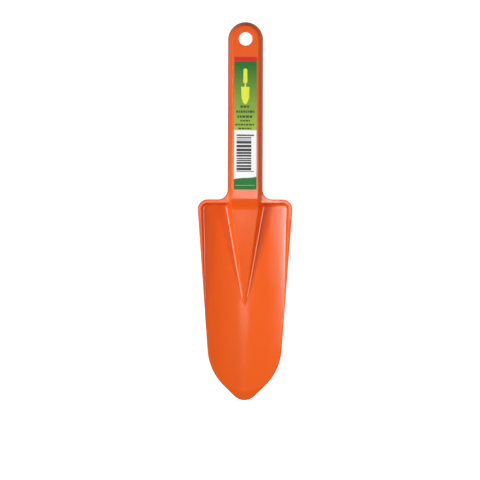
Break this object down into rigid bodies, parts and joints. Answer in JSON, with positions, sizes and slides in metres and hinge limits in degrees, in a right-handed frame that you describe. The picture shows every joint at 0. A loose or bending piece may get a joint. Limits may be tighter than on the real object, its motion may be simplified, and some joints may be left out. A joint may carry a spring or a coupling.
{
  "type": "hand trowel",
  "caption": "Moulded plastic hand trowel with a scooped, pointed blade, a raised V rib, a hollow-backed handle with a hanging hole, and a printed label.",
  "frame": {"origin": "under the middle of the trowel's length and width, on the surface it rests on", "axes": "+Y towards the handle's end, +Z out of the scooped front, +X across the blade"},
  "size_m": [0.07, 0.28, 0.0172],
  "materials": {
    "body_plastic": "bright orange, moulded, semi-gloss",
    "adhesive": "clear pressure-sensitive adhesive, pale",
    "printed_film": "printed in greens with a white panel, satin"
  },
  "bodies": {
    "root": {"trowel_body": "body_plastic", "label_adhesive": "adhesive", "label_film": "printed_film"}
  },
  "joints": []
}
